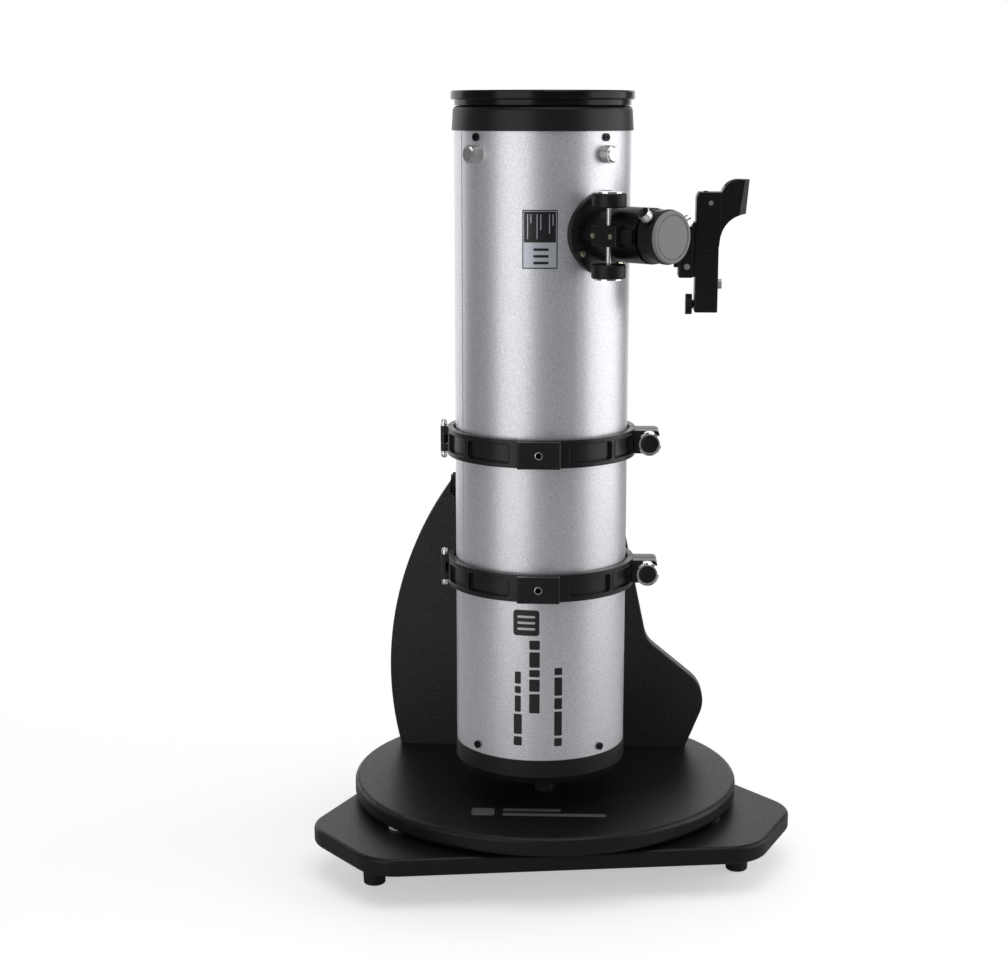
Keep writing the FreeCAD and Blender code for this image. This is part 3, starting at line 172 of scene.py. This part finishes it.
class Surface:
    """One node material, built up a layer at a time. Lengths are in millimetres."""

    def __init__(self, name, color, roughness, metallic=0.0, edge_mm=0.0):
        self.material = bpy.data.materials.new(name)
        self.material.use_nodes = True
        self.tree = self.material.node_tree
        self.shader = self.tree.nodes["Principled BSDF"]
        self.shader.inputs["Base Color"].default_value = (*color, 1)
        self.shader.inputs["Roughness"].default_value = roughness
        self.shader.inputs["Metallic"].default_value = metallic
        self.coordinates = self.tree.nodes.new("ShaderNodeTexCoord")
        self.color = color
        self.roughness = roughness
        self.bump_chain = None
        if edge_mm:
            softened = self.add("ShaderNodeBevel", Radius=edge_mm * MM, samples=6)
            self.bump_chain = softened.outputs["Normal"]

    def add(self, kind, **values):
        made = self.tree.nodes.new(kind)
        for key, value in values.items():
            if key in made.inputs:
                made.inputs[key].default_value = value
            else:
                setattr(made, key, value)
        return made

    def link(self, source, target):
        self.tree.links.new(source, target)

    def noise(self, grain_mm, detail=3.0, stretch=(1, 1, 1)):
        mapping = self.add("ShaderNodeMapping")
        mapping.inputs["Scale"].default_value = stretch
        self.link(self.coordinates.outputs["Object"], mapping.inputs["Vector"])
        made = self.add("ShaderNodeTexNoise", Scale=1000.0 / grain_mm, Detail=detail)
        self.link(mapping.outputs["Vector"], made.inputs["Vector"])
        return made.outputs["Fac"]

    def cells(self, grain_mm, feature="F1"):
        made = self.add("ShaderNodeTexVoronoi", Scale=1000.0 / grain_mm)
        made.feature = feature
        self.link(self.coordinates.outputs["Object"], made.inputs["Vector"])
        return made.outputs["Distance"]

    def span(self, source, low, high, from_low=0.3, from_high=0.7):
        made = self.add("ShaderNodeMapRange")
        made.inputs["From Min"].default_value = from_low
        made.inputs["From Max"].default_value = from_high
        made.inputs["To Min"].default_value = low
        made.inputs["To Max"].default_value = high
        self.link(source, made.inputs["Value"])
        return made.outputs["Result"]

    def blend_numbers(self, amount, plain, rich):
        """The rich number where the amount is 1, and a plain one where it is 0."""
        made = self.add("ShaderNodeMix")
        made.inputs["A"].default_value = plain
        self.link(amount, made.inputs["Factor"])
        self.link(rich, made.inputs["B"])
        return made.outputs["Result"]

    def vary_roughness(self, grain_mm, amount, detail=3.0):
        source = self.noise(grain_mm, detail)
        value = self.span(source, self.roughness - amount, self.roughness + amount)
        self.link(value, self.shader.inputs["Roughness"])
        return self

    def vary_color(self, grain_mm, dark, light, detail=3.0, source=None):
        source = source or self.noise(grain_mm, detail)
        ramp = self.add("ShaderNodeValToRGB")
        ramp.color_ramp.elements[0].position = 0.32
        ramp.color_ramp.elements[1].position = 0.68
        ramp.color_ramp.elements[0].color = (*[c * dark for c in self.color], 1)
        ramp.color_ramp.elements[1].color = (*[min(1, c * light) for c in self.color], 1)
        self.link(source, ramp.inputs["Fac"])
        self.link(ramp.outputs["Color"], self.shader.inputs["Base Color"])
        return self

    def bump(self, source, depth_mm, strength=1.0):
        made = self.add("ShaderNodeBump", Strength=strength, Distance=depth_mm * MM)
        self.link(source, made.inputs["Height"])
        if self.bump_chain is not None:
            self.link(self.bump_chain, made.inputs["Normal"])
        self.bump_chain = made.outputs["Normal"]
        self.link(self.bump_chain, self.shader.inputs["Normal"])
        return self

    def set(self, **values):
        for key, value in values.items():
            self.shader.inputs[key.replace("_", " ")].default_value = value
        return self


def tube_silver():
    surface = Surface("silver_flake", (0.79, 0.80, 0.82), 0.4, 0.82)
    surface.vary_color(1.3, 0.84, 1.16, 3.0)
    surface.vary_roughness(1.1, 0.05)
    surface.bump(surface.noise(1.2, 3.0), 0.03)
    surface.bump(surface.noise(14, 2.0), 0.03)
    return surface.set(Coat_Weight=0.25, Coat_Roughness=0.18).material


def board_black():
    surface = Surface("satin_board", (0.008, 0.0078, 0.0084), 0.4)
    surface.vary_color(6, 0.8, 1.25, 5.0)
    surface.vary_roughness(3, 0.05, 5.0)
    surface.bump(surface.noise(0.9, 4.0), 0.02)
    return surface.set(Specular_IOR_Level=0.28).material


def arm_laminate():
    """Pebbled on the arm's two faces, smooth on its banded edge."""
    surface = Surface("pebbled_laminate", (0.010, 0.010, 0.011), 0.46)
    parts = surface.add("ShaderNodeSeparateXYZ")
    surface.link(surface.coordinates.outputs["Normal"], parts.inputs["Vector"])
    size = surface.add("ShaderNodeMath", operation="ABSOLUTE")
    surface.link(parts.outputs["Y"], size.inputs[0])
    on_face = surface.span(size.outputs[0], 0.0, 1.0, 0.8, 0.97)
    pebbles = surface.blend_numbers(on_face, 0.5, surface.cells(1.9))
    surface.vary_color(2.2, 0.4, 2.6, 4.0, surface.blend_numbers(on_face, 0.5, surface.noise(2.2, 4.0)))
    surface.bump(pebbles, 0.25, 1.0)
    surface.bump(surface.blend_numbers(on_face, 0.5, surface.noise(0.7, 4.0)), 0.06)
    surface.vary_roughness(1.3, 0.08)
    return surface.set(Specular_IOR_Level=0.5).material


def moulded(name, color, roughness, grain_mm=0.35, depth_mm=0.008, specular=0.28, mottle=0.16, edge_mm=0.5):
    surface = Surface(name, color, roughness, edge_mm=edge_mm)
    surface.vary_color(8, 1 - mottle, 1 + mottle, 3.0)
    surface.vary_roughness(2.5, 0.04)
    surface.bump(surface.noise(grain_mm, 2.0), depth_mm)
    return surface.set(Specular_IOR_Level=specular).material


def cast_paint(name, color, roughness, edge_mm=0.4):
    surface = Surface(name, color, roughness, edge_mm=edge_mm)
    surface.vary_color(5, 0.85, 1.2, 3.0)
    surface.vary_roughness(2.0, 0.05)
    surface.bump(surface.noise(1.6, 2.0), 0.012)
    surface.bump(surface.noise(0.3, 2.0), 0.004)
    return surface.set(Specular_IOR_Level=0.3, Coat_Weight=0.15, Coat_Roughness=0.2).material


def metal(name, color, roughness, grain_mm=0.5, depth_mm=0.002):
    surface = Surface(name, color, roughness, 1.0)
    surface.vary_color(3, 0.93, 1.06, 3.0)
    surface.vary_roughness(1.2, min(0.05, roughness * 0.4))
    surface.bump(surface.noise(grain_mm, 2.0), depth_mm)
    return surface.material


def mirror_coat():
    surface = Surface("aluminised", (0.93, 0.94, 0.95), 0.015, 1.0)
    surface.vary_color(30, 0.985, 1.01, 1.0)
    return surface.material


def felt():
    surface = Surface("felt", (0.015, 0.015, 0.016), 0.95)
    surface.vary_color(0.8, 0.5, 2.0, 5.0)
    surface.bump(surface.noise(0.4, 5.0), 0.12)
    return surface.set(Sheen_Weight=0.3).material


def rubber():
    surface = Surface("rubber", (0.013, 0.013, 0.013), 0.62)
    surface.vary_color(4, 0.8, 1.4, 4.0)
    surface.bump(surface.noise(0.6, 3.0), 0.02)
    surface.vary_roughness(2.5, 0.07)
    return surface.material


def coated_glass():
    surface = Surface("coated_glass", (0.86, 0.92, 0.95), 0.03)
    surface.vary_color(12, 0.98, 1.02, 1.0)
    return surface.set(Transmission_Weight=0.85, IOR=1.5).material


def ink(name, color, roughness=0.4, metallic=0.0):
    surface = Surface(name, color, roughness, metallic)
    surface.vary_color(0.9, 0.92, 1.08, 2.0)
    surface.vary_roughness(1.5, 0.04)
    return surface.material


MATERIALS = {
    "tube_silver": tube_silver(),
    "board_black": board_black(),
    "arm_black": arm_laminate(),
    "rubber_black": rubber(),
    "slide_white": moulded("slide_white", (0.82, 0.82, 0.8), 0.35, specular=0.5),
    "slide_grey": moulded("slide_grey", (0.3, 0.3, 0.31), 0.5),
    "zinc_steel": metal("zinc_steel", (0.62, 0.62, 0.63), 0.28),
    "knob_black": moulded("knob_black", (0.008, 0.008, 0.0085), 0.4),
    "cast_black": cast_paint("cast_black", (0.008, 0.008, 0.009), 0.34, 1.2),
    "felt_black": felt(),
    "chrome": metal("chrome", (0.83, 0.83, 0.84), 0.08),
    "ring_black": moulded("ring_black", (0.008, 0.0078, 0.008), 0.38, 1.1, 0.05, 0.34),
    "screw_black": metal("screw_black", (0.03, 0.03, 0.032), 0.32),
    "cap_black": moulded("cap_black", (0.003, 0.003, 0.0035), 0.2, 3.0, 0.004, 0.26),
    "spider_black": cast_paint("spider_black", (0.014, 0.014, 0.014), 0.6),
    "nickel": metal("nickel", (0.66, 0.655, 0.64), 0.3),
    "mirror_coat": mirror_coat(),
    "focuser_black": cast_paint("focuser_black", (0.007, 0.007, 0.0075), 0.34),
    "brass_screw": metal("brass_screw", (0.72, 0.66, 0.48), 0.25),
    "draw_chrome": metal("draw_chrome", (0.7, 0.7, 0.71), 0.14),
    "cap_grey": moulded("cap_grey", (0.30, 0.295, 0.30), 0.5, 0.5, 0.01, mottle=0.03),
    "finder_black": moulded("finder_black", (0.007, 0.007, 0.0075), 0.36, edge_mm=1.0),
    "sight_glass": coated_glass(),
}


def dress_cad_nodes():
    slots = {part["node"]: part["material_slot"] for part in frame["record"]["subparts"]}
    for name, piece in nodes.items():
        material = MATERIALS[slots[name]]
        piece.data.materials.clear()
        piece.data.materials.append(material)


# ---------------------------------------------------------------- detail pieces

def new_piece(name, mesh, body, material):
    piece = bpy.data.objects.new(name, mesh)
    bpy.context.scene.collection.objects.link(piece)
    mesh.materials.append(material)
    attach(piece, body)
    return piece


def wrap_on_tube(shapes, thick_mm, lift_mm=0.03):
    """A mesh of thin raised patches on the tube. Each shape is a closed outline of
    (across, up) points in millimetres; across is measured round the front of the tube."""
    mesh = bpy.data.meshes.new("patches")
    build = bmesh.new()
    for outline in shapes:
        add_flat_shape(build, outline)
    bmesh.ops.triangulate(build, faces=build.faces[:])
    cut_into_strips(build, 2.0)
    extrude_up(build, thick_mm)
    for vertex in build.verts:
        across, up, out = vertex.co
        radius = TUBE_RADIUS + (lift_mm + out) * MM
        turn = across * MM / TUBE_RADIUS
        vertex.co = Vector((TUBE_MIDDLE.x + math.sin(turn) * radius,
                            TUBE_MIDDLE.y - math.cos(turn) * radius, TUBE_LOW.z + up * MM))
    bmesh.ops.recalc_face_normals(build, faces=build.faces[:])
    build.to_mesh(mesh)
    build.free()
    return mesh


def add_flat_shape(build, outline):
    corners = [build.verts.new((x, y, 0)) for x, y in outline]
    build.faces.new(corners)


def cut_into_strips(build, step):
    """Divides flat faces along X so that they can bend round a cylinder."""
    low = min(v.co.x for v in build.verts)
    high = max(v.co.x for v in build.verts)
    place = math.floor(low / step) * step + step
    while place < high:
        geometry = build.verts[:] + build.edges[:] + build.faces[:]
        bmesh.ops.bisect_plane(build, geom=geometry, plane_co=(place, 0, 0), plane_no=(1, 0, 0))
        place += step


def extrude_up(build, thick_mm):
    """Turns flat faces into closed plates of a thickness."""
    made = bmesh.ops.extrude_face_region(build, geom=build.faces[:])
    raised = [item for item in made["geom"] if isinstance(item, bmesh.types.BMVert)]
    for vertex in raised:
        vertex.co.z += thick_mm


def bar(x0, y0, x1, y1, corner=0.0):
    """A rectangle outline, its corners rounded by arcs where a radius is given."""
    if corner <= 0:
        return [(x0, y0), (x1, y0), (x1, y1), (x0, y1)]
    points = []
    for cx, cy, start in ((x1 - corner, y0 + corner, -90), (x1 - corner, y1 - corner, 0),
                          (x0 + corner, y1 - corner, 90), (x0 + corner, y0 + corner, 180)):
        for step in range(5):
            turn = math.radians(start + 22.5 * step)
            points.append((cx + corner * math.cos(turn), cy + corner * math.sin(turn)))
    return points


def make_plate():
    """A plain rating plate with generic rules in place of wording."""
    black = ink("plate_black", (0.012, 0.012, 0.014), 0.3)
    pale = ink("plate_pale", (0.62, 0.64, 0.7), 0.3, 0.4)
    left, right, low, high, split = -16.0, 16.0, 467.0, 519.5, 490.5
    new_piece("rating_plate_border", wrap_on_tube([bar(left, low, right, high)], 0.10), "tube",
              black)
    rules = [bar(left + 1, split, left + 1.5, high - 1), bar(right - 1.5, split, right - 1, high - 1),
             bar(left + 1.5, high - 1.5, right - 1.5, high - 1)]
    for across, long in ((-11.5, 22), (-8.6, 8), (-3, 22), (0.4, 14), (8.2, 17), (11.4, 10)):
        rules.append(bar(across, high - 4 - long, across + 0.7, high - 4))
    new_piece("rating_plate_rules", wrap_on_tube(rules, 0.04, 0.13), "tube", pale)
    new_piece("rating_plate_panel", wrap_on_tube([bar(left + 1, low + 1, right - 1, split)], 0.04, 0.13),
              "tube", pale)
    marks = [bar(-6, low + 4, 8, low + 6.4, 1.1), bar(-6, low + 10, 8, low + 12.4, 1.1),
             bar(-6, low + 16, 8, low + 18.4, 1.1)]
    new_piece("rating_plate_marks", wrap_on_tube(marks, 0.03, 0.175), "tube", black)


def block_row(left, right, top, lengths, gap=2.4):
    """A column of plain blocks running down the tube from a height, one for each length."""
    blocks = []
    for long in lengths:
        blocks.append(bar(left, top - long, right, top, 1.1))
        top -= long + gap
    return blocks


def make_tube_graphics():
    """Plain blocks and a striped square, standing where a maker's decals would be."""
    black = ink("decal_black", (0.01, 0.01, 0.011), 0.35)
    silver = ink("decal_silver", (0.6, 0.61, 0.63), 0.4, 0.6)
    left, right, low, high = -24.0, 1.0, 123.5, 148.5
    square = bar(left, low, right, high, 3.0)
    new_piece("decal_square", wrap_on_tube([square], 0.05), "tube", black)
    slits = [bar(left + 4, low + rise, right - 4, low + rise + 2.2, 1.0) for rise in (5.5, 11.4, 17.3)]
    new_piece("decal_slits", wrap_on_tube(slits, 0.03, 0.08), "tube", silver)
    blocks = block_row(-8.5, 1.5, 119, (9, 15, 7, 12, 19))
    blocks += block_row(-22.5, -16.5, 88, (12, 7, 16))
    blocks += block_row(-23.5, -15.5, 46, (20, 9))
    blocks += block_row(15.5, 23.0, 92, (7, 18, 11, 24, 8))
    new_piece("decal_blocks", wrap_on_tube(blocks, 0.05), "tube", black)


def raised_mark(name, outlines, place, body, material, thick_mm=0.06):
    """Thin raised patches on a level face. Outlines are in millimetres round the place."""
    mesh = bpy.data.meshes.new(name)
    build = bmesh.new()
    for outline in outlines:
        add_flat_shape(build, outline)
    bmesh.ops.triangulate(build, faces=build.faces[:])
    extrude_up(build, thick_mm)
    for vertex in build.verts:
        vertex.co = place + vertex.co * MM
    bmesh.ops.recalc_face_normals(build, faces=build.faces[:])
    build.to_mesh(mesh)
    build.free()
    return new_piece(name, mesh, body, material)


def make_table_mark():
    """Faint plain bars on the turntable's front."""
    grey = ink("mark_grey", (0.11, 0.11, 0.115), 0.4)
    place = Vector((TUBE_MIDDLE.x, TABLE_LOW.y + 0.071, TABLE_HIGH.z + 0.02 * MM))
    outlines = [bar(-64, -10, -42, 10, 3), bar(-34, -10, 66, -2.5, 2.5), bar(-34, 2.5, 22, 10, 2.5)]
    raised_mark("table_mark", outlines, place, "turntable", grey, 0.12)


# ---------------------------------------------------------------- small fittings

def turned_piece(name, profile, place, axis, body, slot, steps=48):
    """A piece turned about an axis from (radius, height) points in millimetres."""
    build = bmesh.new()
    rings = []
    for radius, height in profile:
        if radius == 0:
            rings.append([build.verts.new((0, 0, height * MM))])
            continue
        ring = []
        for step in range(steps):
            turn = 2 * math.pi * step / steps
            across = Vector((math.cos(turn), math.sin(turn), 0)) * radius
            ring.append(build.verts.new((across + Vector((0, 0, height))) * MM))
        rings.append(ring)
    for low, high in zip(rings, rings[1:]):
        for step in range(steps):
            after = (step + 1) % steps
            corners = [low[step % len(low)], low[after % len(low)],
                       high[after % len(high)], high[step % len(high)]]
            build.faces.new(list(dict.fromkeys(corners)))
    bmesh.ops.remove_doubles(build, verts=build.verts[:], dist=0.0001 * MM)
    turn = Vector(axis).to_track_quat("Z", "Y").to_matrix().to_4x4()
    bmesh.ops.transform(build, matrix=Matrix.Translation(place) @ turn, verts=build.verts[:])
    bmesh.ops.recalc_face_normals(build, faces=build.faces[:])
    mesh = bpy.data.meshes.new(name)
    build.to_mesh(mesh)
    build.free()
    shade_by_angle(mesh)
    return new_piece(name, mesh, body, MATERIALS[slot])


def shade_by_angle(mesh, limit=35.0):
    """Smooth shading, with edges sharper than the limit kept crisp."""
    build = bmesh.new()
    build.from_mesh(mesh)
    for face in build.faces:
        face.smooth = True
    for edge in build.edges:
        if len(edge.link_faces) == 2:
            edge.smooth = edge.calc_face_angle(0.0) < math.radians(limit)
    build.to_mesh(mesh)
    build.free()


def bevelled_block(name, low, high, turn, place, edge, body, slot):
    """A small block with rounded edges. Its corners are in millimetres in a turned frame."""
    build = bmesh.new()
    made = bmesh.ops.create_cube(build, size=1.0)
    size = [high[i] - low[i] for i in range(3)]
    middle = [(high[i] + low[i]) / 2 for i in range(3)]
    for vertex in made["verts"]:
        vertex.co = Vector([middle[i] + vertex.co[i] * size[i] for i in range(3)])
    bmesh.ops.bevel(build, geom=build.edges[:], offset=edge, segments=3, profile=0.5, affect="EDGES")
    for vertex in build.verts:
        vertex.co = place + turn @ (vertex.co * MM)
    bmesh.ops.recalc_face_normals(build, faces=build.faces[:])
    mesh = bpy.data.meshes.new(name)
    build.to_mesh(mesh)
    build.free()
    shade_by_angle(mesh)
    return new_piece(name, mesh, body, MATERIALS[slot])


def make_clamp_inlays():
    """The black domed face set into each chrome clamp knob."""
    for word in ("lower", "upper"):
        low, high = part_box(word + "_clamp_knob")
        radius = (high.z - low.z) / 2 / MM - 2.75
        place = Vector(((low.x + high.x) / 2, low.y, (low.z + high.z) / 2))
        profile = [(0, -0.95), (radius, -0.95), (radius, -0.35), (radius - 0.5, -0.1), (radius * 0.6, 0.12),
                   (radius * 0.3, 0.2), (0, 0.22)]
        turned_piece(word + "_clamp_inlay", profile, place + Vector((0, 0.25 * MM, 0)), (0, -1, 0),
                     word + "_clamp", "knob_black")


def make_focuser_stop():
    """The small rib between the focuser's flange and its pinion block."""
    outward = Vector((1, -1, 0)).normalized()
    sideways = Vector((1, 1, 0)).normalized()
    turn = Matrix((sideways, (0, 0, 1), outward)).transposed()
    low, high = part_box("focus_knobs")
    place = Vector((TUBE_MIDDLE.x, TUBE_MIDDLE.y, (low.z + high.z) / 2))
    bevelled_block("focuser_stop", (-30.4, -5.0, 80.5), (-27.0, 5.0, 97.8), turn, place, 0.6, "tube",
                   "screw_black")


def make_hinge_heads():
    """The domed nuts on both ends of each clamp's hinge pin."""
    pins_low, pins_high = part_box("hinge_pins")
    x, y = (pins_low.x + pins_high.x) / 2, (pins_low.y + pins_high.y) / 2
    dome = [(0, -0.4), (2.1, -0.4), (2.1, 0.6), (3.1, 0.6), (3.1, 2.0), (2.7, 3.2), (1.6, 4.1), (0, 4.4)]
    for word in ("lower", "upper"):
        low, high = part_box(word + "_ring_rear")
        middle = (low.z + high.z) / 2
        reach = RING_MIDDLE_LOW - pins_low.z
        for end, side in (("top", 1), ("bottom", -1)):
            place = Vector((x, y, middle + side * reach))
            turned_piece("%s_hinge_%s_head" % (word, end), dome, place, (0, 0, side), "tube", "chrome", 32)


def spaced_out(outline, step):
    """A closed outline with points added so that none are further apart than the step."""
    points = []
    for index, (x, y) in enumerate(outline):
        after_x, after_y = outline[(index + 1) % len(outline)]
        pieces = max(1, math.ceil(math.hypot(after_x - x, after_y - y) / step))
        for piece in range(pieces):
            share = piece / pieces
            points.append((x + (after_x - x) * share, y + (after_y - y) * share))
    return points


def add_bead(build, path, thick):
    """A closed loop of round bead through points that lie round the tube's axis."""
    sides = 8
    loops = []
    for index, point in enumerate(path):
        along = (path[(index + 1) % len(path)] - path[index - 1]).normalized()
        out = Vector((point.x - TUBE_MIDDLE.x, point.y - TUBE_MIDDLE.y, 0)).normalized()
        side = along.cross(out).normalized()
        loop = []
        for step in range(sides):
            turn = 2 * math.pi * step / sides
            loop.append(build.verts.new(point + (out * math.cos(turn) + side * math.sin(turn)) * thick))
        loops.append(loop)
    for index, loop in enumerate(loops):
        after = loops[(index + 1) % len(loops)]
        for step in range(sides):
            beyond = (step + 1) % sides
            build.faces.new((loop[step], loop[beyond], after[beyond], after[step]))


def make_pocket_edges():
    """The rolled edge round each recess in the clamps' front halves."""
    radius, thick, half_tall, corner = 89.9, 0.6, 9.0, 3.0
    for word in ("lower", "upper"):
        low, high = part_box(word + "_ring_front")
        build = bmesh.new()
        for start, sweep in ((18, 30.5), (51, 24)):
            for side in (-1, 1):
                ends = sorted(math.radians(side * angle) * radius for angle in (start, start + sweep))
                outline = bar(ends[0], -half_tall, ends[1], half_tall, corner)
                path = []
                for across, up in spaced_out(outline, 2.5):
                    turn = across / radius
                    path.append(Vector((TUBE_MIDDLE.x + math.sin(turn) * radius * MM,
                                        TUBE_MIDDLE.y - math.cos(turn) * radius * MM,
                                        (low.z + high.z) / 2 + up * MM)))
                add_bead(build, path, thick * MM)
        bmesh.ops.recalc_face_normals(build, faces=build.faces[:])
        mesh = bpy.data.meshes.new(word + "_pocket_edges")
        build.to_mesh(mesh)
        build.free()
        shade_by_angle(mesh, 60.0)
        new_piece(word + "_pocket_edges", mesh, word + "_gate", MATERIALS["cast_black"])


def make_hole_rims():
    """The bright mouth of the tapped hole in each clamp's front boss."""
    rim = [(2.7, -0.3), (3.6, -0.3), (3.6, 0.1), (3.3, 0.25), (2.9, 0.2), (2.7, -0.3)]
    for word in ("lower", "upper"):
        low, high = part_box(word + "_ring_front")
        place = Vector((TUBE_MIDDLE.x, low.y, (low.z + high.z) / 2))
        turned_piece(word + "_hole_rim", rim, place, (0, -1, 0), word + "_gate", "nickel", 36)


def make_tube_seam():
    """The lap where the rolled tube closes: a low bead down its left side, clear of the clamps."""
    middle, half_wide, rise, sunk = math.radians(-63), 1.8, 0.3, 0.2
    rings = [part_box(word + "_ring_front") for word in ("lower", "upper")]
    gap = 0.5 * MM
    spans = ((TUBE_LOW.z + CELL_SKIRT * MM, rings[0][0].z - gap), (rings[0][1].z + gap, rings[1][0].z - gap),
             (rings[1][1].z + gap, TUBE_HIGH.z - gap))
    section = [(share / 4, rise * (1 - (share / 4) ** 2)) for share in range(-4, 5)]
    section += [(1, -sunk), (-1, -sunk)]
    build = bmesh.new()
    for low, high in spans:
        rows = []
        for height in (low, high):
            row = []
            for share, out in section:
                turn = middle + share * half_wide * MM / TUBE_RADIUS
                radius = TUBE_RADIUS + out * MM
                row.append(build.verts.new((TUBE_MIDDLE.x + math.sin(turn) * radius,
                                            TUBE_MIDDLE.y - math.cos(turn) * radius, height)))
            rows.append(row)
        for index, corner in enumerate(rows[0]):
            after = (index + 1) % len(section)
            build.faces.new((corner, rows[0][after], rows[1][after], rows[1][index]))
        build.faces.new(rows[0])
        build.faces.new(rows[1])
    bmesh.ops.recalc_face_normals(build, faces=build.faces[:])
    mesh = bpy.data.meshes.new("tube_seam")
    build.to_mesh(mesh)
    build.free()
    shade_by_angle(mesh)
    new_piece("tube_seam", mesh, "tube", MATERIALS["tube_silver"])


make_camera()
make_stage()
dress_cad_nodes()
make_plate()
make_tube_graphics()
make_table_mark()
make_clamp_inlays()
make_hinge_heads()
make_pocket_edges()
make_hole_rims()
make_focuser_stop()
make_tube_seam()
